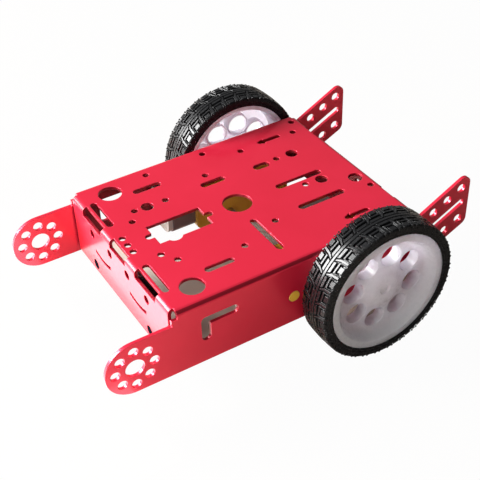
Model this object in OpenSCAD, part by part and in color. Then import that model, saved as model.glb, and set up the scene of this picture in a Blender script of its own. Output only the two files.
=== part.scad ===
// Two wheel robot car: a bent sheet chassis with a geared motor and wheel on each side
// and a ball caster under the front. Front is +X, left is +Y, the ground is z = 0.

/* [Chassis] */
// Length of the top plate
plate_length = 116.5; // [90:0.5:150]
// Width over the two side plates
chassis_width = 93; // [80:0.5:110]
// Height of the top plate's upper face above the ground
plate_height = 50; // [45:0.5:60]
// Depth of the side plates
side_depth = 31; // [26:0.5:36]
// Sheet thickness
sheet = 1.5; // [1:0.1:2.5]
// Outer radius of the bends
bend_r = 2.5; // [2:0.1:4]
// Depth of the front and rear flanges, from the plate's upper face
flange_depth = 28.6; // [24:0.2:30]

/* [Ears] */
// Outer radius of the round front ears
ear_r = 12.5; // [11:0.5:13]
// Radius of the circle of small holes in a front ear
ear_ring_r = 8.3; // [7:0.1:9]
// Diameter of the small holes
ear_hole_d = 4.2; // [3:0.1:5]
// Diameter of the hole in the middle of a front ear
ear_centre_d = 8.2; // [6:0.1:10]
// Upward slope of the rear ears
rear_slope = 26; // [15:1:35]

/* [Wheels] */
// Diameter of the tyre
tyre_d = 65; // [60:1:70]
// Width of the wheel
wheel_width = 15.6; // [12:0.2:20]
// Width over the outer faces of both wheels
track_width = 132; // [125:0.5:135]
// Diameter of the seat the tyre sits on
seat_d = 55.4; // [50:0.2:58]
// Diameter of the round holes in the hub
hub_hole_d = 9.8; // [6:0.1:10]
// Radius of the circle the hub's holes stand on
hub_ring_r = 15.2; // [13:0.1:17]

/* [Motors] */
// Thickness of the gearbox, along the axle
gearbox_thick = 18.8; // [18:0.1:20]
// Height of the gearbox
gearbox_high = 22.5; // [22:0.1:24]
// Distance from the axle to the rear end of the gearbox
gearbox_rear = 11.6; // [11:0.1:12]
// Distance from the axle to the front end of the gearbox's collar
gearbox_front = 37.4; // [36:0.1:39]
// Wall of the gearbox shells
shell_wall = 1.2; // [1:0.1:1.5]
// Tooth module of the gears
gear_module = 0.4; // [0.38:0.01:0.4]
// Diameter of the steel gear pins
pin_d = 1.2; // [1:0.1:1.4]
// Diameter of the output shaft
shaft_d = 5.4; // [5:0.1:5.6]
// Distance between the output shaft's two flats
shaft_flat = 3.7; // [3.4:0.1:4]

/* [Caster] */
// Diameter of the caster ball
ball_d = 11; // [9:0.5:12]

/* [Hidden] */
$fn = 48;
fine = 96;
gap = 0.05;
eps = 0.01;
axle_z = tyre_d / 2;
axle_x = -30.4;
front_x = plate_length / 2 - 0.25;
rear_x = front_x - plate_length;
half_w = chassis_width / 2;
ear_x = front_x + 16.8;
ear_z = plate_height - side_depth + ear_r;
side_bottom = plate_height - side_depth;
tail_x = -(ear_x + ear_r);
flange_half = half_w - 3.2;
wheel_out = track_width / 2;
wheel_in = wheel_out - wheel_width;
motor_y = half_w - sheet - gearbox_thick / 2;
boss_x = 33.1;
screw_x = 20.4;
screw_z = 8.75;
bulkhead_x = 24;
can_front = 48.9;
can_thick = 16.4;
can_high = 20.4;
// Gear train: teeth, and the axles' places measured from the output shaft.
output_teeth = 40;
small_teeth = 10;
cluster_teeth = 30;
crown_teeth = 32;
pinion_teeth = 8;
cluster_z = 3.2;
output_centres = gear_module * (output_teeth + small_teeth) / 2;
crown_centres = gear_module * (cluster_teeth + small_teeth) / 2;
cluster_x = sqrt(output_centres * output_centres - cluster_z * cluster_z);
crown_x = cluster_x + sqrt(crown_centres * crown_centres - cluster_z * cluster_z);
output_bearing = atan2(cluster_z, cluster_x);
crown_bearing = atan2(-cluster_z, crown_x - cluster_x);
crown_r = gear_module * crown_teeth / 2;
pinion_r = gear_module * pinion_teeth / 2;
caster_x = 44.5;
cup_r = 6.3;
flat_head_d = 4.8;
m25 = 2.4;
caster_top = 20.2;
bracket_y = 25;
bracket_z = 25;

// ---- helpers -------------------------------------------------------------------------

// A cylinder along Y, starting at y and running length in +Y.
module y_cyl(x, y, z, d, length) {
    translate([x, y, z])
        rotate([-90, 0, 0])
            cylinder(d = d, h = length);
}

// A cylinder along X, starting at x and running length in +X.
module x_cyl(x, y, z, d, length) {
    translate([x, y, z])
        rotate([0, 90, 0])
            cylinder(d = d, h = length);
}

// A straight round-ended slot in the plane, centred on the origin, along X.
module slot_2d(length, width) {
    square([length - width, width], center = true);
    for (side = [-1, 1])
        translate([side * (length - width) / 2, 0])
            circle(d = width);
}

// A rectangle in the plane with rounded corners, centred on the origin.
module round_rect(length, height, r) {
    square([length - 2 * r, height], center = true);
    square([length, height - 2 * r], center = true);
    for (sx = [-1, 1])
        for (sy = [-1, 1])
            translate([sx * (length / 2 - r), sy * (height / 2 - r)])
                circle(r = r);
}

// A side profile drawn in X and Z, given thickness along Y from y.
module side_sheet(y, thick) {
    translate([0, y + thick, 0])
        rotate([90, 0, 0])
            linear_extrude(thick)
                children();
}

// A gear in the plane with a tooth pointing along +X.
module gear_2d(teeth) {
    pitch_r = gear_module * teeth / 2;
    root_r = pitch_r - 1.15 * gear_module;
    tip_r = pitch_r + 0.8 * gear_module;
    root_half = 0.85 * gear_module;
    tip_half = 0.32 * gear_module;
    circle(r = root_r);
    for (i = [0:teeth - 1])
        rotate(i * 360 / teeth)
            polygon([
                [root_r - 0.1, -root_half],
                [tip_r, -tip_half],
                [tip_r, tip_half],
                [root_r - 0.1, root_half]
            ]);
}

// A spur gear whose axis is along Y, from y to y + width, a tooth at the given bearing.
module spur(x, z, y, width, teeth, bearing) {
    translate([x, y + width, z])
        rotate([90, 0, 0])
            rotate(bearing)
                linear_extrude(width)
                    gear_2d(teeth);
}

// A pan head screw along +Y: the head lies below y, the thread runs up from it.
module y_screw(x, y, z, d, length) {
    difference() {
        union() {
            y_cyl(x, y, z, d, length);
            y_cyl(x, y - 0.7 * d, z, 1.85 * d, 0.7 * d);
        }
        translate([x, y - 0.7 * d, z])
            cube([0.2 * d, 0.7 * d, d], center = true);
        translate([x, y - 0.7 * d, z])
            cube([d, 0.7 * d, 0.2 * d], center = true);
    }
}

// A hexagon nut around an axis along Y, above y.
module y_nut(x, y, z, d) {
    translate([x, y, z])
        rotate([-90, 0, 0])
            difference() {
                cylinder(d = 1.95 * d, h = 0.75 * d, $fn = 6);
                translate([0, 0, -1])
                    cylinder(d = d + 2 * gap, h = d + 2);
            }
}

// ---- chassis -------------------------------------------------------------------------

// The bent U across the car: top plate and both side plates, seen from the front.
module u_section() {
    corner_y = half_w - bend_r;
    corner_z = plate_height - bend_r;
    translate([-corner_y, plate_height - sheet])
        square([2 * corner_y, sheet]);
    for (side = [-1, 1]) {
        translate([side * (half_w - sheet / 2), (side_bottom + corner_z) / 2])
            square([sheet, corner_z - side_bottom], center = true);
        translate([side * corner_y, corner_z])
            intersection() {
                difference() {
                    circle(r = bend_r);
                    circle(r = bend_r - sheet);
                }
                translate([side * bend_r / 2, bend_r / 2])
                    square(bend_r, center = true);
            }
    }
}

// The bend and the flange at one end, seen from the side, for an end facing +X at x = 0.
module flange_section() {
    translate([-sheet, plate_height - flange_depth])
        square([sheet, flange_depth - bend_r]);
    translate([-bend_r, plate_height - bend_r])
        intersection() {
            difference() {
                circle(r = bend_r);
                circle(r = bend_r - sheet);
            }
            square(bend_r);
        }
}

// A flange across the car at one end; side is +1 for the front and -1 for the rear.
module flange(side) {
    end_x = side > 0 ? front_x : rear_x;
    translate([end_x, 0, 0])
        scale([side, 1, 1])
            side_sheet(-flange_half, 2 * flange_half)
                flange_section();
}

// Outline of a side plate beyond the top plate: the round front ear.
module front_ear_2d() {
    translate([ear_x, ear_z])
        circle(r = ear_r, $fn = fine);
    translate([front_x - 12, ear_z - ear_r])
        square([ear_x - front_x + 12, 2 * ear_r]);
}

// Outline of the rear ear, which slopes up towards the back.
module rear_ear_2d() {
    r = 3.5;
    low = side_bottom + 16.2;
    hull() {
        translate([tail_x + r, low])
            circle(r = r, $fn = 32);
        translate([tail_x + r, low + 18.4])
            circle(r = r, $fn = 32);
        translate([rear_x + 1.1, side_bottom])
            square([2, 24.2]);
    }
}

// Holes of a front ear: a ring of small holes round a larger one.
module front_ear_holes() {
    translate([ear_x, ear_z])
        circle(d = ear_centre_d);
    for (i = [0:7])
        translate([ear_x, ear_z])
            rotate(i * 45)
                translate([ear_ring_r, 0])
                    circle(d = ear_hole_d);
}

// Holes of a rear ear: two sloping rows with a long slot between them.
module rear_ear_holes() {
    for (low = [0, 16])
        translate([tail_x + 4.7, side_bottom + 33 - low])
            rotate(-rear_slope)
                for (i = [0:2])
                    translate([8 * i, 0])
                        circle(d = ear_hole_d);
    translate([tail_x + 4.5, side_bottom + 25.2])
        rotate(-rear_slope)
            translate([11, 0])
                slot_2d(26, 3.2);
}

// Openings in each side plate's main part: the L slot and the motor's holes.
module side_holes() {
    translate([37.25, plate_height - 10.3])
        slot_2d(16.7, 4.2);
    translate([43.5, plate_height - 14.2])
        rotate(90)
            slot_2d(12, 4.2);
    translate([axle_x, axle_z])
        circle(d = 9);
    translate([axle_x + boss_x, axle_z])
        circle(d = 5.4);
    for (side = [-1, 1])
        translate([axle_x + screw_x, axle_z + side * screw_z])
            circle(d = 3.2);
}

// The large shaped opening in the top plate, between the motors.
module big_opening() {
    translate([28.8, 0])
        square([24.8, 12.9], center = true);
    translate([33.8, 4.8])
        circle(r = 3.5);
    translate([28.8, 0])
        slot_2d(31.6, 3.2);
}

// A narrow slot with an arrow head at its front end.
module arrow_slot() {
    slot_2d(12, 2.3);
    translate([4, 0])
        circle(d = 5, $fn = 3);
}

// Round holes of the top plate: small ones for screws, then larger ones.
module plate_round_holes() {
    small = [
        [52.7, 5], [52.7, 0], [52.7, -5], [44.2, 12.8], [44.2, -12.8], [40, 19.1], [40, -19.1],
        [13.2, 26.4], [25.3, -18.8], [2, -25.2], [23.8, -40], [-6, 19.3], [-31, 4.9],
        [-31.2, -18.7], [-49.6, -33], [-21, -33], [-54.2, 20.8], [-53.8, -40.6], [-5.3, -40.6]
    ];
    for (p = small)
        translate(p)
            circle(d = 3);
    medium = [[34, -18.9], [-39, 5.5], [-39.3, -18.5]];
    for (p = medium)
        translate(p)
            circle(d = 5.6);
    translate([-52, 12.6])
        circle(d = 6.4);
    for (side = [-1, 1])
        translate([43.2, side * 36.3])
            circle(d = 10.4);
    translate([0.7, 0])
        circle(d = 12.9);
}

// Slots of the top plate.
module plate_slots() {
    for (side = [-1, 1]) {
        translate([52.8, side * 24.4])
            rotate(90)
                slot_2d(19.2, 3.1);
        translate([27.8, side * 31.1])
            slot_2d(13.4, 3.2);
        translate([-37, side * 34])
            arrow_slot();
    }
    translate([1.9, 24.8])
        rotate(90)
            slot_2d(23, 3.2);
    translate([1.6, -19.1])
        slot_2d(12, 3.4);
    for (y = [0, 17.6])
        translate([-30.6, y])
            slot_2d(23.2, 3.4);
    translate([-22.6, -17.7])
        slot_2d(8, 4);
}

// Openings in a flange seen from the end: four holes and, above them, two at the middle.
module flange_holes() {
    for (side = [-1, 1]) {
        translate([side * bracket_y, bracket_z])
            circle(d = m25 + 0.2);
        translate([side * bracket_y, plate_height - 8.4])
            circle(d = 4.2);
        translate([side * 8, plate_height - 7.8])
            circle(d = 4.2);
    }
}

// Two shallow curved slots in the front flange.
module curved_slots() {
    for (side = [-1, 1])
        translate([side * 16.2, plate_height - 17.6 + 23])
            intersection() {
                difference() {
                    circle(r = 23.9, $fn = fine);
                    circle(r = 22.1, $fn = fine);
                }
                translate([0, -24])
                    square([14.6, 8], center = true);
            }
}

// Everything cut down through the top plate, with the notches at the sheet's corners.
module plate_cuts() {
    translate([0, 0, plate_height - 3])
        linear_extrude(6) {
            big_opening();
            plate_round_holes();
            plate_slots();
        }
    for (sx = [0, 1])
        for (sy = [-1, 1])
            translate([sx > 0 ? front_x : rear_x, sy * (flange_half + 0.8), plate_height])
                cube([5, 1.6, 2 * (plate_height - side_bottom) - 4], center = true);
}

// Relief slots in the bends: three along the front one, two along the rear one.
module bend_reliefs() {
    for (y = [-24.4, 0, 24.4])
        translate([front_x, y, plate_height - 1])
            cube([4.8, y == 0 ? 14.4 : 17.8, 6], center = true);
    for (side = [-1, 1])
        translate([rear_x, side * 28.3, plate_height - 1])
            cube([3.4, 10, 6], center = true);
}

module chassis() {
    color([0.78, 0.05, 0.10])
        difference() {
            union() {
                translate([rear_x + bend_r, 0, 0])
                    rotate([90, 0, 90])
                        linear_extrude(plate_length - 2 * bend_r)
                            u_section();
                for (side = [-1, 1])
                    side_sheet(side > 0 ? half_w - sheet : -half_w, sheet) {
                        translate([rear_x, side_bottom])
                            square([plate_length, side_depth - bend_r - 1]);
                        front_ear_2d();
                        rear_ear_2d();
                    }
                flange(1);
                flange(-1);
            }
            plate_cuts();
            bend_reliefs();
            side_sheet(-half_w - 1, chassis_width + 2) {
                front_ear_holes();
                rear_ear_holes();
                side_holes();
            }
            translate([front_x - 5, 0, 0])
                rotate([90, 0, 90])
                    linear_extrude(8) {
                        flange_holes();
                        curved_slots();
                    }
            for (side = [-1, 1])
                translate([front_x + eps, side * bracket_y, bracket_z])
                    rotate([0, -90, 0])
                        flat_head(0.15);
            translate([rear_x - 3, 0, 0])
                rotate([90, 0, 90])
                    linear_extrude(8)
                        flange_holes();
        }
}

// ---- geared motor, drawn round its own output shaft, outer side towards +Y -------------

// Places a motor part in the car: the right one is the left one turned over.
module on_side(side) {
    translate([axle_x, side * motor_y, axle_z])
        rotate([side > 0 ? 0 : 180, 0, 0])
            children();
}

// Outline of the gearbox from the side.
module gearbox_2d() {
    length = gearbox_rear + gearbox_front;
    translate([gearbox_front - length / 2, 0])
        round_rect(length, gearbox_high, 2.5);
    translate([-gearbox_rear - 2, 0])
        round_rect(7, 5, 1);
}

// Space inside the gearbox for the gears.
module gear_space_2d() {
    length = gearbox_rear + bulkhead_x - shell_wall;
    translate([bulkhead_x - length / 2, 0])
        difference() {
            round_rect(length, gearbox_high - 2 * shell_wall, 2);
            for (side = [-1, 1])
                translate([screw_x - bulkhead_x + length / 2, side * screw_z])
                    circle(r = 2.7);
        }
}

// Both shells in one: closed outside, hollow for the gears and the motor's can.
module gearbox_body() {
    half = gearbox_thick / 2;
    difference() {
        union() {
            side_sheet(-half, gearbox_thick)
                gearbox_2d();
            y_cyl(boss_x, half - 1, 0, 5, 2.6);
        }
        side_sheet(-half + shell_wall, gearbox_thick - 2 * shell_wall)
            gear_space_2d();
        translate([bulkhead_x + shell_wall, 0, 0])
            rotate([90, 0, 90])
                linear_extrude(gearbox_front)
                    round_rect(can_thick, can_high, 4);
        x_cyl(bulkhead_x - 1, 0, 0, 4.2, 4);
        y_cyl(0, -half - 2, 0, shaft_d + 2 * gap, gearbox_thick + 4);
        y_cyl(-gearbox_rear - 3, -half - 1, 0, 3, gearbox_thick + 2);
        for (side = [-1, 1])
            y_cyl(screw_x, -half - 1, side * screw_z, 3.1, gearbox_thick + 2);
        for (p = [[cluster_x, cluster_z], [crown_x, 0]])
            y_cyl(p[0], -half + 0.5, p[1], pin_d, gearbox_thick - 1);
    }
}

module gearbox_outer(side) {
    color([0.86, 0.62, 0.08])
        on_side(side)
            intersection() {
                gearbox_body();
                translate([-60, 0, -30])
                    cube([120, 20, 60]);
            }
}

module gearbox_inner(side) {
    color([0.86, 0.62, 0.08])
        on_side(side)
            intersection() {
                gearbox_body();
                translate([-60, -20, -30])
                    cube([120, 20, 60]);
            }
}

// The output shaft with its gear: two flats where the wheel pushes on.
module output_gear(side) {
    half = gearbox_thick / 2;
    out_end = 58 - motor_y;
    color([0.92, 0.92, 0.88])
        on_side(side) {
            y_cyl(0, -half, 0, shaft_d, 2 * half);
            spur(0, 0, -0.5, 2.8, output_teeth, output_bearing);
            intersection() {
                y_cyl(0, half - eps, 0, shaft_d, out_end - half);
                translate([0, 0, 0])
                    cube([shaft_flat, 60, 20], center = true);
            }
        }
}

// The middle gear: a large wheel driven by the crown gear's pinion, and a small one.
module cluster_gear(side) {
    small_turn = output_bearing + 180 + 180 / small_teeth;
    color([0.92, 0.92, 0.88])
        on_side(side)
            difference() {
                union() {
                    spur(cluster_x, cluster_z, -7.5, 2.5, cluster_teeth, crown_bearing);
                    spur(cluster_x, cluster_z, -0.8, 3.4, small_teeth, small_turn);
                    y_cyl(cluster_x, -5.2, cluster_z, 2.2, 4.6);
                }
                y_cyl(cluster_x, -9, cluster_z, pin_d + 2 * gap, 18);
            }
}

// The first gear: a crown wheel with teeth standing along its axis, and a small pinion.
module crown_gear(side) {
    disc_y = -4;
    tooth_base = -pinion_r - 1.15 * gear_module;
    tooth_tip = -pinion_r + 0.75 * gear_module;
    small_turn = crown_bearing + 180 + 180 / small_teeth;
    color([0.92, 0.92, 0.88])
        on_side(side)
            difference() {
                union() {
                    y_cyl(crown_x, disc_y, 0, 2 * crown_r + 0.7, tooth_base - disc_y);
                    spur(crown_x, 0, -8, 4.1, small_teeth, small_turn);
                    for (i = [0:crown_teeth - 1])
                        translate([crown_x, 0, 0])
                            rotate([0, i * 360 / crown_teeth + 180 / crown_teeth, 0])
                                crown_tooth(tooth_base, tooth_tip);
                }
                y_cyl(crown_x, -9, 0, pin_d + 2 * gap, 18);
            }
}

// One tooth of the crown gear: a small tapered block at its rim.
module crown_tooth(base_y, tip_y) {
    base_half = 0.34;
    tip_half = 0.12;
    translate([crown_r - 1.3, 0, 0])
        rotate([90, 0, 90])
            linear_extrude(1.6)
                polygon([
                    [base_y - 0.05, -base_half],
                    [tip_y, -tip_half],
                    [tip_y, tip_half],
                    [base_y - 0.05, base_half]
                ]);
}

module gear_pins(side) {
    half = gearbox_thick / 2;
    color([0.75, 0.76, 0.78])
        on_side(side)
            for (p = [[cluster_x, cluster_z], [crown_x, 0]])
                y_cyl(p[0], -half + 0.5, p[1], pin_d - 0.02, gearbox_thick - 1);
}

// The motor's steel can, closed at the gearbox end round its bearing.
module motor_can(side) {
    back = bulkhead_x + shell_wall;
    color([0.32, 0.31, 0.33])
        on_side(side)
            translate([back, 0, 0])
                rotate([90, 0, 90])
                    difference() {
                        linear_extrude(can_front - back)
                            round_rect(can_thick - 0.06, can_high - 0.06, 4);
                        translate([0, 0, 0.8])
                            linear_extrude(can_front)
                                round_rect(can_thick - 1.6, can_high - 1.6, 3.2);
                        translate([0, 0, -1])
                            cylinder(d = 2.1, h = 4);
                    }
}

// Two curved magnets inside the can, above and below the rotor.
module magnets(side) {
    color([0.16, 0.16, 0.17])
        on_side(side)
            translate([bulkhead_x + shell_wall + 3, 0, 0])
                rotate([90, 0, 90])
                    linear_extrude(13)
                        difference() {
                            round_rect(can_thick - 1.7, can_high - 1.7, 3.1);
                            circle(r = 7);
                            square([20, 8], center = true);
                        }
}

// The rotor: steel shaft, wound core, commutator and the drive pinion.
module rotor(side) {
    back = bulkhead_x + shell_wall;
    color([0.72, 0.45, 0.2])
        on_side(side) {
            x_cyl(crown_x + 3, 0, 0, 2, can_front + 1.5 - crown_x - 3);
            x_cyl(back + 4, 0, 0, 12.4, 11);
            x_cyl(back + 15, 0, 0, 5, 4);
            translate([crown_x + 5, 0, 0])
                rotate([90, 0, 90])
                    rotate(180)
                        linear_extrude(2.4)
                            gear_2d(pinion_teeth);
        }
}

// The motor's plastic end cap, with a hole for the shaft's end and two for the terminals.
module end_cap(side) {
    color([0.90, 0.89, 0.84])
        on_side(side)
            translate([can_front, 0, 0])
                rotate([90, 0, 90])
                    difference() {
                        union() {
                            linear_extrude(2.2)
                                round_rect(can_thick - 1, can_high - 1, 3.6);
                            linear_extrude(3.4)
                                circle(d = 7);
                        }
                        translate([0, 0, -1])
                            cylinder(d = 2.1, h = 4);
                        for (s = [-1, 1])
                            translate([0, s * 7, 0])
                                cube([2.6, 0.7, 10], center = true);
                    }
}

// Two flat copper terminals standing out of the end cap.
module terminals(side) {
    color([0.80, 0.55, 0.25])
        on_side(side)
            for (s = [-1, 1])
                difference() {
                    translate([can_front + 2, 0, s * 7])
                        cube([6, 2.4, 0.5], center = true);
                    translate([can_front + 3.9, 0, s * 7])
                        cylinder(d = 1, h = 3, center = true);
                }
}

// Two long screws through the side plate and the gearbox.
module motor_screws(side) {
    color([0.75, 0.76, 0.78])
        on_side(side)
            for (s = [-1, 1])
                rotate([180, 0, 0])
                    y_screw(screw_x, motor_y - half_w, s * screw_z, 2.9, 25);
}

module motor_nuts(side) {
    color([0.75, 0.76, 0.78])
        on_side(side)
            for (s = [-1, 1])
                translate([0, -gearbox_thick / 2 - 2.175, 0])
                    y_nut(screw_x, 0, s * screw_z, 2.9);
}

// ---- wheels ---------------------------------------------------------------------------

// Places a wheel part, drawn with its outer face at z = 0 and the wheel below it.
module wheel_at(side) {
    translate([axle_x, side * wheel_out, axle_z])
        rotate([side > 0 ? -90 : 90, 0, 0])
            children();
}

// Half section of the hub: rim, sloping dish and a closed boss in the middle.
module hub_section() {
    seat_r = seat_d / 2;
    polygon([
        [0, -2.7], [6.2, -2.7], [7.4, -3.2], [10.6, -4.3], [19.8, -4.6], [22.2, -3.6],
        [24.6, 0], [seat_r, 0], [seat_r, -wheel_width], [seat_r - 2, -wheel_width],
        [seat_r - 2.4, -6.3], [7, -6.3], [6.4, -15], [0, -15]
    ]);
}

module hub(side) {
    turn = -12.3;
    color([0.90, 0.89, 0.90, 0.85])
        wheel_at(side)
            difference() {
                union() {
                    rotate_extrude($fn = fine)
                        hub_section();
                    for (i = [0:7])
                        rotate(i * 45 + turn)
                            translate([hub_ring_r, 0, -9.7])
                                cylinder(d = hub_hole_d + 1.5, h = 4.1);
                }
                for (i = [0:7])
                    rotate(i * 45 + turn)
                        translate([hub_ring_r, 0, -20])
                            cylinder(d = hub_hole_d, h = 20);
                translate([0, 0, -3.4])
                    cylinder(d = 3.6, h = 3);
                intersection() {
                    translate([0, 0, -16])
                        cylinder(d = shaft_d + 0.04, h = 10);
                    cube([shaft_flat + 0.04, 30, 60], center = true);
                }
            }
}

// Half section of the tyre, with a groove on each side of its middle rib.
module tyre_section() {
    seat_r = seat_d / 2;
    out_r = tyre_d / 2;
    polygon([
        [seat_r, 0], [seat_r, -wheel_width], [out_r - 0.4, -wheel_width],
        [out_r, -wheel_width + 0.4], [out_r, -wheel_width + 4.8],
        [out_r - 1.2, -wheel_width + 5.2], [out_r - 1.2, -wheel_width + 6],
        [out_r, -wheel_width + 6.4], [out_r, -6.4], [out_r - 1.2, -6],
        [out_r - 1.2, -5.2], [out_r, -4.8], [out_r, -0.4], [out_r - 0.4, 0]
    ]);
}

module tyre(side) {
    lugs = 40;
    color([0.07, 0.07, 0.075])
        wheel_at(side)
            difference() {
                rotate_extrude($fn = fine)
                    tyre_section();
                for (i = [0:lugs - 1])
                    for (edge = [0, 1])
                        rotate((i + edge / 2) * 360 / lugs)
                            translate([tyre_d / 2, 0, -edge * wheel_width])
                                cube([2.4, 1.3, 8], center = true);
            }
}

// ---- caster ----------------------------------------------------------------------------

// A folded steel bracket: an upright behind the front flange and a shelf under it.
module caster_bracket() {
    thick = 1.2;
    back_x = front_x - sheet - thick;
    shelf_x = caster_x - 2.8;
    color([0.20, 0.20, 0.21])
        difference() {
            union() {
                translate([back_x, -30, caster_top])
                    cube([thick, 60, 9.5]);
                translate([shelf_x, -15, caster_top])
                    cube([back_x - shelf_x + eps, 30, thick]);
            }
            for (side = [-1, 1]) {
                x_cyl(back_x - 1, side * bracket_y, bracket_z, m25 + 0.2, 4);
                translate([caster_x, side * 11, caster_top - 1])
                    cylinder(d = 2.7, h = 4);
            }
            translate([caster_x, 0, caster_top - 1])
                cylinder(d = 4, h = 4);
        }
}

// Two flat head screws through the front flange's lower holes, heads flush with it.
module bracket_screws() {
    color([0.08, 0.08, 0.09])
        for (side = [-1, 1])
            translate([front_x, side * bracket_y, bracket_z])
                rotate([0, -90, 0]) {
                    cylinder(d = m25, h = 7);
                    flat_head(0);
                }
}

// The cone of a flat head, from its face at z = 0, grown by extra for its countersink.
module flat_head(extra) {
    difference() {
        cylinder(d1 = flat_head_d + extra, d2 = m25 + extra, h = 1.4);
        if (extra == 0)
            translate([0, 0, 0.2])
                cube([0.6, flat_head_d - 1.2, 1.2], center = true);
    }
}

module bracket_nuts() {
    color([0.08, 0.08, 0.09])
        for (side = [-1, 1])
            translate([front_x - sheet - 1.2, side * bracket_y, bracket_z])
                rotate([0, 0, 90])
                    y_nut(0, 0, 0, m25);
}

// The caster's cup: it holds the ball past its middle and narrows to a neck with two lugs.
module caster_housing() {
    ball_r = ball_d / 2;
    cup_bottom = 4.2;
    neck_z = 14.4;
    neck_r = 4.2;
    color([0.10, 0.10, 0.11])
        difference() {
            union() {
                translate([caster_x, 0, cup_bottom])
                    cylinder(r = cup_r, h = neck_z - cup_bottom, $fn = fine);
                translate([caster_x, 0, neck_z])
                    cylinder(r1 = cup_r, r2 = neck_r, h = 3, $fn = fine);
                translate([caster_x, 0, neck_z])
                    cylinder(r = neck_r, h = caster_top - neck_z, $fn = fine);
                translate([caster_x, 0, caster_top - 3])
                    linear_extrude(3)
                        rotate(90)
                            slot_2d(28, 6.4);
            }
            translate([caster_x, 0, ball_r])
                sphere(r = ball_r + 0.08, $fn = fine);
            for (side = [-1, 1])
                translate([caster_x, side * 11, caster_top - 5])
                    cylinder(d = 2.7, h = 8);
        }
}

module caster_ball() {
    color([0.80, 0.81, 0.83])
        translate([caster_x, 0, ball_d / 2])
            sphere(r = ball_d / 2, $fn = fine);
}

// Screws down through the shelf and the cup's lugs.
module caster_screws() {
    color([0.75, 0.76, 0.78])
        for (side = [-1, 1])
            translate([caster_x, side * 11, caster_top + 1.2])
                rotate([-90, 0, 0])
                    y_screw(0, 0, 0, 2.4, 7);
}

module caster_nuts() {
    color([0.75, 0.76, 0.78])
        for (side = [-1, 1])
            translate([caster_x, side * 11, caster_top - 3])
                rotate([-90, 0, 0])
                    y_nut(0, 0, 0, 2.4);
}

chassis();
gearbox_outer(1);  // left_gearbox_outer
gearbox_inner(1);  // left_gearbox_inner
output_gear(1);  // left_output_gear
cluster_gear(1);  // left_cluster_gear
crown_gear(1);  // left_crown_gear
gear_pins(1);  // left_gear_pins
motor_can(1);  // left_motor_can
magnets(1);  // left_magnets
rotor(1);  // left_rotor
end_cap(1);  // left_end_cap
terminals(1);  // left_terminals
motor_screws(1);  // left_motor_screws
motor_nuts(1);  // left_motor_nuts
hub(1);  // left_hub
tyre(1);  // left_tyre
gearbox_outer(-1);  // right_gearbox_outer
gearbox_inner(-1);  // right_gearbox_inner
output_gear(-1);  // right_output_gear
cluster_gear(-1);  // right_cluster_gear
crown_gear(-1);  // right_crown_gear
gear_pins(-1);  // right_gear_pins
motor_can(-1);  // right_motor_can
magnets(-1);  // right_magnets
rotor(-1);  // right_rotor
end_cap(-1);  // right_end_cap
terminals(-1);  // right_terminals
motor_screws(-1);  // right_motor_screws
motor_nuts(-1);  // right_motor_nuts
hub(-1);  // right_hub
tyre(-1);  // right_tyre
caster_bracket();
bracket_screws();
bracket_nuts();
caster_housing();
caster_ball();
caster_screws();
caster_nuts();
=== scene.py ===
import math

import bmesh
import bpy
from mathutils import Matrix, Quaternion, Vector


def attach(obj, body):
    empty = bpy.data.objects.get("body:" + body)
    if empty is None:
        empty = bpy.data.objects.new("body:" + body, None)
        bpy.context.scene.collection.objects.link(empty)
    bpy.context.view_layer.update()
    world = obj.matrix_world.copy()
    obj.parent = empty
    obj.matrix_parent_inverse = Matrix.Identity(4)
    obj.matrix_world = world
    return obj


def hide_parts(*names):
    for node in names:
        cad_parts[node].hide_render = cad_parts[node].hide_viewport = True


MM = 0.001

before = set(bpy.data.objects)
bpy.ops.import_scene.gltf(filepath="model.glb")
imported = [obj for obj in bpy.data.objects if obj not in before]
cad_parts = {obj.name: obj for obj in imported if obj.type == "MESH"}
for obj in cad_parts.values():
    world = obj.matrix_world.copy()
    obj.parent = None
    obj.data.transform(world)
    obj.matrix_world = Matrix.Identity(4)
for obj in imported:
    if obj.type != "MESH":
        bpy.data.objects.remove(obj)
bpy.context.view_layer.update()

# ---- sizes shared with the CAD part, in millimetres -----------------------------------

AXLE = Vector((-30.4, 0.0, 32.5))
TYRE_R = 32.5
SEAT_R = 27.7
WHEEL_OUT = 66.0
WHEEL_WIDTH = 15.6
HALF_WIDTH = WHEEL_WIDTH / 2


# ---- node helpers ----------------------------------------------------------------------

def new_material(name):
    """An empty node material, with one function that adds a node and one that links sockets."""
    material = bpy.data.materials.new(name)
    material.use_nodes = True
    tree = material.node_tree
    tree.nodes.clear()

    def add(kind, **inputs):
        node = tree.nodes.new(kind)
        for key, value in inputs.items():
            node.inputs[key.replace("_", " ")].default_value = value
        return node

    return material, add, tree.links.new


def object_noise(add, link, scale, detail=4.0, rough=0.55, stretch=(1, 1, 1)):
    """Noise in the object's own millimetre space."""
    coords = add("ShaderNodeTexCoord")
    mapping = add("ShaderNodeMapping")
    mapping.inputs["Scale"].default_value = [s / MM for s in stretch]
    noise = add("ShaderNodeTexNoise", Scale=scale, Detail=detail, Roughness=rough)
    link(coords.outputs["Object"], mapping.inputs["Vector"])
    link(mapping.outputs["Vector"], noise.inputs["Vector"])
    return noise.outputs["Fac"]


def ramp(add, link, source, low, high, start=0.3, end=0.7):
    """Maps a value between start and end onto the range from low to high."""
    node = add("ShaderNodeMapRange")
    node.inputs["From Min"].default_value = start
    node.inputs["From Max"].default_value = end
    node.inputs["To Min"].default_value = low
    node.inputs["To Max"].default_value = high
    link(source, node.inputs["Value"])
    return node.outputs["Result"]


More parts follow.
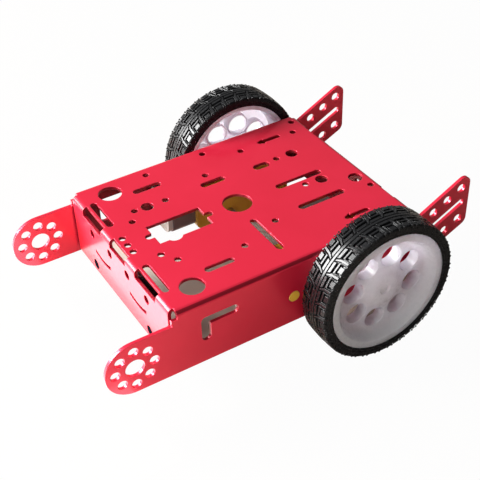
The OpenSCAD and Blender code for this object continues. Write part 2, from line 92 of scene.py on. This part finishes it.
def colour_mix(add, link, factor, first, second):
    """Blends two colours by a factor socket."""
    mix = add("ShaderNodeMix")
    mix.data_type = "RGBA"
    link(factor, mix.inputs["Factor"])
    for socket, value in ((mix.inputs[6], first), (mix.inputs[7], second)):
        if isinstance(value, bpy.types.NodeSocket):
            link(value, socket)
        else:
            socket.default_value = (*value, 1.0)
    return mix.outputs[2]


def product(add, link, first, second):
    """Multiplies a socket by a number or by another socket."""
    node = add("ShaderNodeMath")
    node.operation = "MULTIPLY"
    link(first, node.inputs[0])
    if isinstance(second, bpy.types.NodeSocket):
        link(second, node.inputs[1])
    else:
        node.inputs[1].default_value = second
    return node.outputs[0]


def largest(add, link, first, second):
    """The larger of two sockets."""
    node = add("ShaderNodeMath")
    node.operation = "MAXIMUM"
    link(first, node.inputs[0])
    link(second, node.inputs[1])
    return node.outputs[0]


def outside_span(add, link, source, low, high, soft):
    """0 inside the span from low to high and 1 outside it, with a soft edge."""
    away = add("ShaderNodeMath")
    away.operation = "SUBTRACT"
    link(source, away.inputs[0])
    away.inputs[1].default_value = (low + high) / 2
    size = add("ShaderNodeMath")
    size.operation = "ABSOLUTE"
    link(away.outputs[0], size.inputs[0])
    half = (high - low) / 2
    return ramp(add, link, size.outputs[0], 0.0, 1.0, half - soft, half + soft)


def edge_mask(add, link, width):
    """Close to 1 on outside edges and 0 on flat faces, from the bevelled normal."""
    geometry = add("ShaderNodeNewGeometry")
    bevel = add("ShaderNodeBevel", Radius=width * MM)
    bevel.samples = 6
    dot = add("ShaderNodeVectorMath")
    dot.operation = "DOT_PRODUCT"
    link(geometry.outputs["Normal"], dot.inputs[0])
    link(bevel.outputs["Normal"], dot.inputs[1])
    return ramp(add, link, dot.outputs["Value"], 1.0, 0.0, 0.86, 0.995)


def surface(name, colour, colour_2, metallic=0.0, rough=(0.3, 0.45), grain=0.4, bump=0.05,
            patch=0.03, stretch=(1, 1, 1), wear_and_highlight_tint=None, bevel=0.25, see_through=0.0, **extra):
    """A principled material with blotches of colour, uneven roughness, grain and a lighter tint on
    outside edges: wear on most parts, a painted edge highlight on the red chassis.
    """
    material, add, link = new_material(name)
    blotch = object_noise(add, link, patch, 3.0, 0.6)
    fine = object_noise(add, link, grain, 5.0, 0.65, stretch)
    tint = colour_mix(add, link, ramp(add, link, blotch, 0.0, 1.0), colour, colour_2)
    roughness = ramp(add, link, fine, rough[0], rough[1])
    shader = add("ShaderNodeBsdfPrincipled")
    shader.inputs["Metallic"].default_value = metallic
    for key, value in extra.items():
        shader.inputs[key.replace("_", " ")].default_value = value
    # Outside edges take the tint: wear on most parts, a painted highlight on the red chassis
    if wear_and_highlight_tint:
        edge = edge_mask(add, link, bevel)
        breakup = ramp(add, link, blotch, 0.35, 1.0)
        tint = colour_mix(add, link, product(add, link, edge, breakup), tint, wear_and_highlight_tint)
    soft = add("ShaderNodeBevel", Radius=bevel * MM)
    soft.samples = 6
    lumps = add("ShaderNodeBump", Strength=bump, Distance=0.1 * MM)
    link(fine, lumps.inputs["Height"])
    link(soft.outputs["Normal"], lumps.inputs["Normal"])
    link(lumps.outputs["Normal"], shader.inputs["Normal"])
    link(tint, shader.inputs["Base Color"])
    link(roughness, shader.inputs["Roughness"])
    output = add("ShaderNodeOutputMaterial")
    if see_through:
        glow = add("ShaderNodeBsdfTranslucent")
        link(tint, glow.inputs["Color"])
        mix = add("ShaderNodeMixShader", Fac=see_through)
        link(shader.outputs["BSDF"], mix.inputs[1])
        link(glow.outputs["BSDF"], mix.inputs[2])
        link(mix.outputs["Shader"], output.inputs["Surface"])
    else:
        link(shader.outputs["BSDF"], output.inputs["Surface"])
    return material


def principled(material):
    """The material's principled shader node."""
    return next(n for n in material.node_tree.nodes if n.type == "BSDF_PRINCIPLED")


def paint_inside_shade(material, low, high, share):
    """Painted shade: darkens the colour on faces and hole walls inside the box from low to high, in
    millimetres, standing in for the shadow inside the chassis.
    """
    add = material.node_tree.nodes.new
    link = material.node_tree.links.new
    shader = principled(material)
    coords = add("ShaderNodeTexCoord")
    parts = add("ShaderNodeSeparateXYZ")
    link(coords.outputs["Object"], parts.inputs["Vector"])
    spans = [
        outside_span(add, link, parts.outputs[name], start * MM, end * MM, INSIDE_SOFT * MM)
        for name, start, end in zip("XYZ", low, high)
    ]
    outside = largest(add, link, largest(add, link, spans[0], spans[1]), spans[2])
    level = ramp(add, link, outside, share, 1.0, 0.0, 1.0)
    deep = add("ShaderNodeVectorMath")
    deep.operation = "SCALE"
    link(shader.inputs["Base Color"].links[0].from_socket, deep.inputs[0])
    link(level, deep.inputs["Scale"])
    link(deep.outputs["Vector"], shader.inputs["Base Color"])


def dull_sidewalls(material):
    """Less shine where the surface faces along the axle than on the tread."""
    add = material.node_tree.nodes.new
    link = material.node_tree.links.new
    coords = add("ShaderNodeTexCoord")
    parts = add("ShaderNodeSeparateXYZ")
    size = add("ShaderNodeMath")
    size.operation = "ABSOLUTE"
    link(coords.outputs["Normal"], parts.inputs["Vector"])
    link(parts.outputs["Y"], size.inputs[0])
    shine = ramp(add, link, size.outputs[0], 0.5, 0.15, 0.5, 0.9)
    link(shine, principled(material).inputs["Specular IOR Level"])


# ---- materials -------------------------------------------------------------------------

# The box, in millimetres, that holds the chassis's inner faces and hole walls, which get painted shade
INSIDE_LOW = (-58.2, -46.2, 10.0)
INSIDE_HIGH = (57.7, 46.2, 49.7)
INSIDE_SOFT = 0.05
# Share of the red kept inside the box: painted shade on the inner faces and hole walls
INSIDE_SHADE_SHARE = 0.4

# Its edge tint, a brighter red than the face, is a painted highlight on the sheet's edges, bends and
# hole rims
RED = surface("red_anodised_aluminium", (0.86, 0.022, 0.062), (0.79, 0.018, 0.050),
              metallic=0.42, rough=(0.28, 0.34), grain=0.5, bump=0.01, patch=0.02,
              wear_and_highlight_tint=(0.95, 0.10, 0.17), bevel=0.30, Coat_Weight=0.25, Coat_Roughness=0.10)
# Its edge tint draws lighter grey outlines round the tread blocks
TYRE = surface("black_tyre_rubber", (0.006, 0.006, 0.007), (0.011, 0.011, 0.012),
               rough=(0.22, 0.32), grain=0.9, bump=0.05, patch=0.05,
               wear_and_highlight_tint=(0.030, 0.030, 0.032), bevel=0.15, Specular_IOR_Level=0.5)
HUB = surface("milky_hub_plastic", (0.95, 0.94, 1.0), (0.91, 0.89, 0.97), see_through=0.40,
              rough=(0.22, 0.34), grain=0.5, bump=0.02, patch=0.02, bevel=0.3,
              Subsurface_Weight=1.0, Subsurface_Scale=0.006,
              Subsurface_Radius=(1.0, 0.93, 0.96))
YELLOW = surface("yellow_gearbox_plastic", (0.84, 0.49, 0.055), (0.75, 0.42, 0.04),
                 rough=(0.30, 0.45), grain=0.7, bump=0.05, patch=0.03,
                 wear_and_highlight_tint=(0.85, 0.62, 0.20), bevel=0.3)
NYLON = surface("white_gear_nylon", (0.80, 0.80, 0.74), (0.72, 0.71, 0.64),
                rough=(0.4, 0.55), grain=0.8)
STEEL = surface("zinc_plated_steel", (0.60, 0.61, 0.63), (0.48, 0.49, 0.52),
                metallic=1.0, rough=(0.22, 0.4), grain=1.5, bump=0.06,
                wear_and_highlight_tint=(0.8, 0.8, 0.82), bevel=0.15)
CAN = surface("dull_motor_can_steel", (0.30, 0.22, 0.235), (0.24, 0.18, 0.19),
              metallic=0.75, rough=(0.35, 0.5), grain=1.2, bump=0.05,
              stretch=(0.15, 1, 1), wear_and_highlight_tint=(0.3, 0.3, 0.32))
MAGNET = surface("dark_ferrite", (0.03, 0.03, 0.032), (0.05, 0.05, 0.05),
                 metallic=0.2, rough=(0.5, 0.7), grain=1.5, bump=0.2)
COPPER = surface("wound_copper", (0.62, 0.24, 0.09), (0.50, 0.18, 0.06),
                 metallic=0.9, rough=(0.25, 0.45), grain=2.0, bump=0.3, stretch=(0.2, 2, 2))
CREAM = surface("cream_end_cap_plastic", (0.82, 0.78, 0.74), (0.74, 0.69, 0.64),
                rough=(0.35, 0.5), grain=0.7)
BRASS = surface("stamped_brass", (0.70, 0.46, 0.16), (0.58, 0.36, 0.12),
                metallic=1.0, rough=(0.25, 0.4), grain=1.4, wear_and_highlight_tint=(0.9, 0.75, 0.4))
BLACK_STEEL = surface("blackened_steel", (0.022, 0.021, 0.024), (0.034, 0.033, 0.036),
                      metallic=0.6, rough=(0.35, 0.55), grain=1.2, bump=0.08,
                      wear_and_highlight_tint=(0.22, 0.22, 0.23))
DARK_SCREW = surface("oxide_black_screw", (0.006, 0.006, 0.010), (0.010, 0.009, 0.014),
                     rough=(0.55, 0.7), grain=1.5, bump=0.04, Specular_IOR_Level=0.0)
BLACK_PLASTIC = surface("black_moulded_plastic", (0.020, 0.020, 0.021), (0.028, 0.028, 0.03),
                        rough=(0.35, 0.5), grain=0.8, bump=0.08, wear_and_highlight_tint=(0.12, 0.12, 0.12))
BALL_STEEL = surface("polished_ball_steel", (0.72, 0.73, 0.75), (0.62, 0.63, 0.66),
                     metallic=1.0, rough=(0.06, 0.16), grain=1.0, bump=0.02)

dull_sidewalls(TYRE)
# Painted shade: the chassis's inner faces and hole walls are darkened inside the box
paint_inside_shade(RED, INSIDE_LOW, INSIDE_HIGH, INSIDE_SHADE_SHARE)


# ---- mesh helpers ----------------------------------------------------------------------

def make_object(name, verts, faces, material, body, smooth):
    """A mesh from millimetre points, shaded smooth under an angle, riding on a body."""
    mesh = bpy.data.meshes.new(name)
    mesh.from_pydata([tuple(Vector(v) * MM) for v in verts], [], faces)
    mesh.validate()
    obj = bpy.data.objects.new(name, mesh)
    bpy.context.scene.collection.objects.link(obj)
    finish_object(obj, material, body, smooth)
    return obj


def finish_object(obj, material, body, smooth):
    """Shading, material and body for a new piece; smooth is the sharpest smoothed angle in degrees."""
    mesh = obj.data
    bm = bmesh.new()
    bm.from_mesh(mesh)
    bmesh.ops.remove_doubles(bm, verts=bm.verts, dist=1e-6)
    bmesh.ops.recalc_face_normals(bm, faces=bm.faces)
    bm.to_mesh(mesh)
    bm.free()
    mesh.materials.clear()
    mesh.materials.append(material)
    mesh.shade_smooth()
    mesh.set_sharp_from_angle(angle=math.radians(smooth))
    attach(obj, body)


def revolve(profile, segments, axis_point, side):
    """Rings of points for a profile of (radius, distance out from the wheel's outer face)."""
    verts = []
    for i in range(segments):
        a = 2 * math.pi * i / segments
        for r, d in profile:
            verts.append(wheel_point(r, a, d, axis_point, side))
    faces = []
    n = len(profile)
    for i in range(segments):
        j = (i + 1) % segments
        for k in range(n):
            m = (k + 1) % n
            faces.append((i * n + k, j * n + k, j * n + m, i * n + m))
    return verts, faces


def wheel_point(r, angle, out, centre, side):
    """A point on a wheel: out is measured outwards from the wheel's outer face."""
    return (centre[0] + r * math.sin(angle), side * (WHEEL_OUT + out), centre[2] + r * math.cos(angle))


def boolean(obj, cutter, operation="DIFFERENCE"):
    """Applies one boolean and removes the cutter."""
    modifier = obj.modifiers.new("cut", "BOOLEAN")
    modifier.operation = operation
    modifier.object = cutter
    modifier.solver = "EXACT"
    bpy.context.view_layer.update()
    graph = bpy.context.evaluated_depsgraph_get()
    result = bpy.data.meshes.new_from_object(obj.evaluated_get(graph))
    obj.modifiers.clear()
    obj.data = result
    bpy.data.objects.remove(cutter)


def loose_object(name, verts, faces):
    """A plain mesh object from millimetre points, for booleans."""
    mesh = bpy.data.meshes.new(name)
    mesh.from_pydata([tuple(Vector(v) * MM) for v in verts], [], faces)
    obj = bpy.data.objects.new(name, mesh)
    bpy.context.scene.collection.objects.link(obj)
    bm = bmesh.new()
    bm.from_mesh(mesh)
    bmesh.ops.recalc_face_normals(bm, faces=bm.faces)
    bm.to_mesh(mesh)
    bm.free()
    return obj


# ---- tyre ------------------------------------------------------------------------------

UNITS = 30
PITCH = 2 * math.pi * TYRE_R / UNITS
TREAD_DEPTH = 1.5
TREAD_EDGE = HALF_WIDTH + 0.02
BLOCK_ROOT = -0.4
CHAMFER = 0.14
SHOULDER = 7.2
INNER_SHIFT = 0.85
SLANT = 0.16
KNOB_HEIGHT = 0.6
CROWN_R = 70.0
ARM_CENTRES = (0.43, 4.88)
TREAD_CUTS = (2.0, 4.0, 5.7, SHOULDER, 7.5)
RIB_STEPS = 6
TYRE_SEGMENTS = 240
TYRE_SMOOTH = 32.0
# Where the pattern starts on the left (1) and the right (-1) wheel, in degrees
TREAD_START = {1: -5.6, -1: -1.3}


def tread_radius(v):
    """Radius of the tread's top at a distance v across from the tyre's middle."""
    over = max(0.0, abs(v) - SHOULDER) / (HALF_WIDTH - SHOULDER)
    return TYRE_R - v * v / (2 * CROWN_R) - KNOB_HEIGHT * over


def tread_point(u, v, h, side):
    """u runs round the tyre, v across it towards the outside, h is height over the tread's floor."""
    angle = side * 2 * math.pi * u / (UNITS * PITCH) + math.radians(TREAD_START[side])
    r = tread_radius(v) - TREAD_DEPTH + h
    return wheel_point(r, angle, v - HALF_WIDTH, AXLE, side)


def inset(points, amount):
    """Moves each corner of a counter-clockwise outline inwards by amount."""
    out = []
    n = len(points)
    for i in range(n):
        p = Vector(points[i])
        a = (p - Vector(points[i - 1])).normalized()
        b = (Vector(points[(i + 1) % n]) - p).normalized()
        normal_a = Vector((-a.y, a.x))
        normal_b = Vector((-b.y, b.x))
        miter = normal_a + normal_b
        out.append(p + miter * (amount / max(0.2, miter.dot(normal_a))))
    return out


def add_block(bm, outline):
    """One raised tread block: a flat prism with chamfered top edges."""
    low = [bm.verts.new((p[0], p[1], BLOCK_ROOT)) for p in outline]
    mid = [bm.verts.new((p[0], p[1], TREAD_DEPTH - 0.16)) for p in outline]
    top = [bm.verts.new((p[0], p[1], TREAD_DEPTH)) for p in inset(outline, CHAMFER)]
    n = len(outline)
    for i in range(n):
        j = (i + 1) % n
        bm.faces.new((low[i], low[j], mid[j], mid[i]))
        bm.faces.new((mid[i], mid[j], top[j], top[i]))
    bm.faces.new(top)
    bm.faces.new(list(reversed(low)))


def edge_knob(bm, centre, turn):
    """A pointed knob where a thin arm ends, standing up to the tyre's full radius."""
    foot = TREAD_DEPTH - 0.3
    tip = TREAD_DEPTH + KNOB_HEIGHT * 0.85
    tip_edge = TREAD_EDGE - 0.15
    low = [(-0.55, SHOULDER, foot), (0.55, SHOULDER, foot),
           (0.55, TREAD_EDGE, foot), (-0.55, TREAD_EDGE, foot)]
    top = [(-0.25, SHOULDER, TREAD_DEPTH), (0.25, SHOULDER, TREAD_DEPTH),
           (0.28, tip_edge, tip), (-0.28, tip_edge, tip)]
    rings = [[bm.verts.new((centre + u, turn * v, h)) for u, v, h in ring] for ring in (low, top)]
    for i in range(4):
        j = (i + 1) % 4
        bm.faces.new((rings[0][i], rings[0][j], rings[1][j], rings[1][i]))
    bm.faces.new(rings[1])
    bm.faces.new(list(reversed(rings[0])))


def shoulder_blocks(bm, start, turn):
    """The blocks of one pitch on one shoulder; turn is +1 for the outer one."""
    edge = TREAD_EDGE

    def at(points):
        placed = [(start + u + SLANT * (edge - v), turn * v) for u, v in points]
        return placed if turn > 0 else list(reversed(placed))

    block = [(1.25, 5.05), (4.05, 5.05), (4.05, edge), (1.25, edge)]
    arch = [(0.25, 3.40), (5.05, 3.40), (5.05, edge), (4.70, edge), (4.70, 4.35),
            (0.60, 4.35), (0.60, edge), (0.25, edge)]
    bar = [(6.45, 1.10), (7.35, 1.10), (6.65, 3.40), (6.65, edge), (5.45, edge), (5.45, 3.40)]
    brick = [(0.98, 0.95), (6.10, 0.95), (5.46, 2.40), (0.62, 2.40)]
    for outline in (block, arch, bar, brick):
        add_block(bm, at(outline))
    for centre in ARM_CENTRES:
        edge_knob(bm, start + centre, turn)


def middle_rib(bm):
    """The narrow unbroken rib round the tyre's middle."""
    shoulder = TREAD_DEPTH - CHAMFER
    points = [(-0.62, BLOCK_ROOT), (-0.62, shoulder), (-0.50, TREAD_DEPTH),
              (0.50, TREAD_DEPTH), (0.62, shoulder), (0.62, BLOCK_ROOT)]
    rings = [
        [bm.verts.new((i * PITCH / RIB_STEPS, v, h)) for v, h in points]
        for i in range(UNITS * RIB_STEPS)
    ]
    count = len(rings)
    for i in range(count):
        a, b = rings[i], rings[(i + 1) % count]
        for k in range(len(a)):
            m = (k + 1) % len(a)
            bm.faces.new((a[k], a[m], b[m], b[k]))


def tread_mesh(side):
    """All raised tread, cut into strips so that it can bend and wrapped round the tyre."""
    bm = bmesh.new()
    for turn in (1, -1):
        shift = 0.0 if turn > 0 else INNER_SHIFT
        for i in range(UNITS):
            shoulder_blocks(bm, i * PITCH + shift, turn)
    for cut in TREAD_CUTS:
        for turn in (1, -1):
            geometry = bm.verts[:] + bm.edges[:] + bm.faces[:]
            bmesh.ops.bisect_plane(bm, geom=geometry, plane_co=(0, turn * cut, 0),
                                   plane_no=(0, turn, 0))
    middle_rib(bm)
    bm.verts.index_update()
    verts = [tread_point(v.co.x, v.co.y, v.co.z, side) for v in bm.verts]
    faces = [[v.index for v in f.verts] for f in bm.faces]
    bm.free()
    return verts, faces


def carcass_profile():
    """Closed section of the tyre's body: bead, bulging sidewalls and the tread's floor."""
    w = WHEEL_WIDTH
    outer = [
        (SEAT_R, -0.25), (28.0, -0.05), (28.7, 0.0), (28.9, -0.12), (29.1, 0.0), (30.4, 0.0),
        (30.6, -0.10)
    ]
    across = []
    for i in range(0, 17):
        v = HALF_WIDTH - 0.15 - i * (w - 0.3) / 16
        across.append((tread_radius(v) - TREAD_DEPTH, v - HALF_WIDTH))
    inner = [(r, -w - d) for r, d in reversed(outer)]
    bead = [(SEAT_R, -w + 2.0), (SEAT_R, -2.0)]
    return outer + across + inner + bead


def tyre(side, name, body, node):
    """One wheel's tyre with its tread."""
    verts, faces = revolve(carcass_profile(), TYRE_SEGMENTS, AXLE, side)
    tread_verts, tread_faces = tread_mesh(side)
    start = len(verts)
    verts += tread_verts
    faces += [[i + start for i in f] for f in tread_faces]
    obj = make_object(name, verts, faces, TYRE, body, TYRE_SMOOTH)
    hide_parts(node)


tyre(1, "left_tyre_tread", "left_wheel", "left_tyre")
tyre(-1, "right_tyre_tread", "right_wheel", "right_tyre")


# ---- hub -------------------------------------------------------------------------------

HOLES = 8
HOLE_RING = 15.2
HOLE_R = 4.9
HOLE_TURN = 77.7
TUBE_WALL = 0.75
TUBE_SPAN = (-5.2, -9.7)
CUT_SPAN = (2.0, -20.0)
HUB_SEGMENTS = 180
HUB_SMOOTH = 35.0
CYLINDER_STEPS = 40


def arc(centre_r, centre_d, radius, start, end, steps):
    """Points of an arc in a hub section, angles in degrees."""
    points = []
    for i in range(steps + 1):
        a = math.radians(start + (end - start) * i / steps)
        points.append((centre_r + radius * math.cos(a), centre_d + radius * math.sin(a)))
    return points


def hub_profile():
    """Closed hub section: barrel, flat rim, dish, floor and the closed boss."""
    face = [(0.02, -3.3), (1.5, -3.3)]
    face += arc(1.9, -3.1, 0.3, 270, 360, 3)
    face += [(2.6, -2.72), (5.9, -2.68), (6.5, -2.8), (7.4, -3.15), (8.8, -3.75), (10.6, -4.25)]
    face += [(13.0, -4.45), (18.0, -4.6), (19.8, -4.6), (21.0, -4.3), (22.1, -3.6), (23.1, -2.4)]
    face += [(24.0, -0.95)]
    face += arc(24.9, -0.9, 0.7, 160, 90, 4)
    face += [(26.6, -0.12)]
    face += arc(27.1, -0.6, 0.5, 90, 0, 4)
    back = [(SEAT_R - 0.02, -1.0), (SEAT_R - 0.02, -WHEEL_WIDTH + 0.4), (27.3, -WHEEL_WIDTH),
            (26.1, -WHEEL_WIDTH), (25.7, -WHEEL_WIDTH + 0.4), (25.3, -6.2), (24.3, -4.6),
            (22.6, -5.6), (20.0, -6.2), (7.8, -6.3), (7.1, -6.9), (6.4, -14.9), (0.02, -14.9)]
    return face + back


def cylinder_between(r, at_r, angle, d0, d1, side):
    """A closed cylinder along the axle, centred at (at_r, angle) on the wheel."""
    steps = CYLINDER_STEPS
    cx = at_r * math.sin(angle)
    cz = at_r * math.cos(angle)
    verts = []
    for d in (d0, d1):
        y = side * (WHEEL_OUT + d)
        for i in range(steps):
            a = 2 * math.pi * i / steps
            verts.append((AXLE[0] + cx + r * math.cos(a), y, AXLE[2] + cz + r * math.sin(a)))
    faces = [tuple(range(steps)), tuple(range(2 * steps - 1, steps - 1, -1))]
    for i in range(steps):
        j = (i + 1) % steps
        faces.append((i, j, steps + j, steps + i))
    return verts, faces


def ring_of(side, r, d0, d1):
    """A ring of cylinders round the hub in one cutter or tube mesh."""
    verts, faces = [], []
    for i in range(HOLES):
        a = math.radians(360 / HOLES * i + HOLE_TURN)
        v, f = cylinder_between(r, HOLE_RING, a, d0, d1, side)
        faces += [[k + len(verts) for k in face] for face in f]
        verts += v
    return verts, faces


def hub(side, name, body, node):
    """One wheel's hub with its ring of round holes."""
    verts, faces = revolve(hub_profile(), HUB_SEGMENTS, AXLE, side)
    obj = loose_object(name, verts, faces)
    boolean(obj, loose_object("tubes", *ring_of(side, HOLE_R + TUBE_WALL, *TUBE_SPAN)), "UNION")
    boolean(obj, loose_object("holes", *ring_of(side, HOLE_R, *CUT_SPAN)))
    finish_object(obj, HUB, body, HUB_SMOOTH)
    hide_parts(node)


hub(1, "left_hub_dish", "left_wheel", "left_hub")
hub(-1, "right_hub_dish", "right_wheel", "right_hub")


# ---- CAD nodes' materials ----------------------------------------------------------------

FINISH = {
    "chassis": RED, "gearbox_outer": YELLOW, "gearbox_inner": YELLOW, "output_gear": NYLON,
    "cluster_gear": NYLON, "crown_gear": NYLON, "gear_pins": STEEL, "motor_can": CAN,
    "magnets": MAGNET, "rotor": COPPER, "end_cap": CREAM, "terminals": BRASS,
    "motor_screws": STEEL, "motor_nuts": STEEL, "hub": HUB, "tyre": TYRE,
    "caster_bracket": BLACK_STEEL, "bracket_screws": DARK_SCREW, "bracket_nuts": BLACK_STEEL,
    "caster_housing": BLACK_PLASTIC, "caster_ball": BALL_STEEL, "caster_screws": STEEL,
    "caster_nuts": STEEL
}

for node_name, node_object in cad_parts.items():
    kind = node_name
    for prefix in ("left_", "right_"):
        if kind.startswith(prefix):
            kind = kind[len(prefix):]
    node_object.data.materials.clear()
    node_object.data.materials.append(FINISH[kind])


# ---- stage, light and camera ---------------------------------------------------------------

# The floor's shaded patches, under the car, behind the near wheel and beyond the front flange's
# middle slot: (x span, y span) in metres
SHADED = [
    ((-0.085, 0.045), (-0.043, 0.024)), ((-0.062, -0.026), (0.032, 0.049)),
    ((-0.078, -0.060), (0.027, 0.039)), ((0.031, 0.047), (-0.075, -0.040))
]
PATCH_SOFT = 0.0025
FLOOR_SHARE = 0.97

# The photo's camera: lens place in millimetres, turn as an axis times an angle, focal length
LENS_PLACE = (174.5, 300.0, 306.4)
LENS_TURN = (0.738, 2.551, -1.24)
LENS_FOCAL = 76.04


def pale_floor():
    """A floor that looks evenly pale from the camera, but shaded under the car and in reflections."""
    material, add, link = new_material("pale_floor")
    shade = object_noise(add, link, 0.002, 2.0)
    lit = add("ShaderNodeBsdfPrincipled", Roughness=0.6)
    link(colour_mix(add, link, shade, (0.50, 0.43, 0.37), (0.46, 0.40, 0.34)), lit.inputs["Base Color"])
    even = add("ShaderNodeEmission", Strength=1.0)
    even.inputs["Color"].default_value = (1.0, 1.0, 1.0, 1.0)
    path = add("ShaderNodeLightPath")
    place = add("ShaderNodeSeparateXYZ")
    link(add("ShaderNodeNewGeometry").outputs["Position"], place.inputs["Vector"])
    share = product(add, link, path.outputs["Is Camera Ray"], FLOOR_SHARE)
    for span_x, span_y in SHADED:
        past_x = outside_span(add, link, place.outputs["X"], *span_x, PATCH_SOFT)
        past_y = outside_span(add, link, place.outputs["Y"], *span_y, PATCH_SOFT)
        share = product(add, link, share, largest(add, link, past_x, past_y))
    mix = add("ShaderNodeMixShader")
    link(share, mix.inputs["Fac"])
    link(lit.outputs["BSDF"], mix.inputs[1])
    link(even.outputs["Emission"], mix.inputs[2])
    output = add("ShaderNodeOutputMaterial")
    link(mix.outputs["Shader"], output.inputs["Surface"])
    bpy.ops.mesh.primitive_plane_add(size=8.0, location=(0, 0, 0))
    floor = bpy.context.active_object
    floor.name = "floor"
    floor.data.materials.append(material)


def glow_card(name, centre, size, strength):
    """A glowing sheet on the floor that only shows in reflections."""
    material, add, link = new_material(name)
    glow = add("ShaderNodeEmission", Strength=strength)
    output = add("ShaderNodeOutputMaterial")
    link(glow.outputs["Emission"], output.inputs["Surface"])
    bpy.ops.mesh.primitive_plane_add(size=1.0, location=centre)
    card = bpy.context.active_object
    card.name = name
    card.scale = (*size, 1.0)
    card.data.materials.append(material)
    card.visible_camera = False
    card.visible_diffuse = False
    card.visible_shadow = False


def softbox(name, location, target, size, power):
    """A rectangular area light aimed at a target."""
    light = bpy.data.lights.new(name, "AREA")
    light.shape = "RECTANGLE"
    light.size, light.size_y = size
    light.energy = power
    obj = bpy.data.objects.new(name, light)
    obj.location = location
    direction = Vector(target) - Vector(location)
    obj.rotation_euler = direction.to_track_quat("-Z", "Y").to_euler()
    bpy.context.scene.collection.objects.link(obj)


def studio():
    """A big softbox at the far front, two dim ones, and a room that is paler beyond the car."""
    world = bpy.data.worlds.new("studio")
    bpy.context.scene.world = world
    world.use_nodes = True
    tree = world.node_tree
    tree.nodes.clear()
    coords = tree.nodes.new("ShaderNodeTexCoord")
    toward = tree.nodes.new("ShaderNodeVectorMath")
    toward.operation = "DOT_PRODUCT"
    toward.inputs[1].default_value = (0.10, -0.95, 0.25)
    spread = tree.nodes.new("ShaderNodeMapRange")
    spread.interpolation_type = "SMOOTHSTEP"
    for key, value in (("From Min", -0.55), ("From Max", 0.75), ("To Min", 0.06), ("To Max", 0.30)):
        spread.inputs[key].default_value = value
    background = tree.nodes.new("ShaderNodeBackground")
    output = tree.nodes.new("ShaderNodeOutputWorld")
    tree.links.new(coords.outputs["Generated"], toward.inputs[0])
    tree.links.new(toward.outputs["Value"], spread.inputs["Value"])
    tree.links.new(spread.outputs["Result"], background.inputs["Strength"])
    tree.links.new(background.outputs["Background"], output.inputs["Surface"])
    softbox("key", (0.70, -0.53, 0.50), (0, 0, 0.03), (0.50, 0.70), 31.0)
    softbox("fill", (0.20, 0.95, 0.55), (0, 0, 0.03), (0.60, 0.40), 1.4)
    softbox("near_front", (0.25, 0.17, 0.12), (0.03, 0.05, 0.03), (0.06, 0.06), 0.34)
    glow_card("front_glow", (0.165, -0.06, 0.0005), (0.19, 0.26), 3.5)
    bpy.context.scene.view_settings.view_transform = "Standard"


def photo_camera():
    """The camera, placed and turned as the photo's own."""
    camera = bpy.data.cameras.new("camera")
    camera.lens = LENS_FOCAL
    camera.sensor_width = 36.0
    camera.clip_start = 0.01
    obj = bpy.data.objects.new("camera", camera)
    turn = Vector(LENS_TURN)
    world_to_view = Quaternion(turn.normalized(), turn.length).to_matrix()
    flip = Matrix(((1, 0, 0), (0, -1, 0), (0, 0, -1)))
    rotation = world_to_view.transposed() @ flip
    obj.matrix_world = Matrix.Translation(Vector(LENS_PLACE) * MM) @ rotation.to_4x4()
    bpy.context.scene.collection.objects.link(obj)
    bpy.context.scene.camera = obj


pale_floor()
studio()
photo_camera()
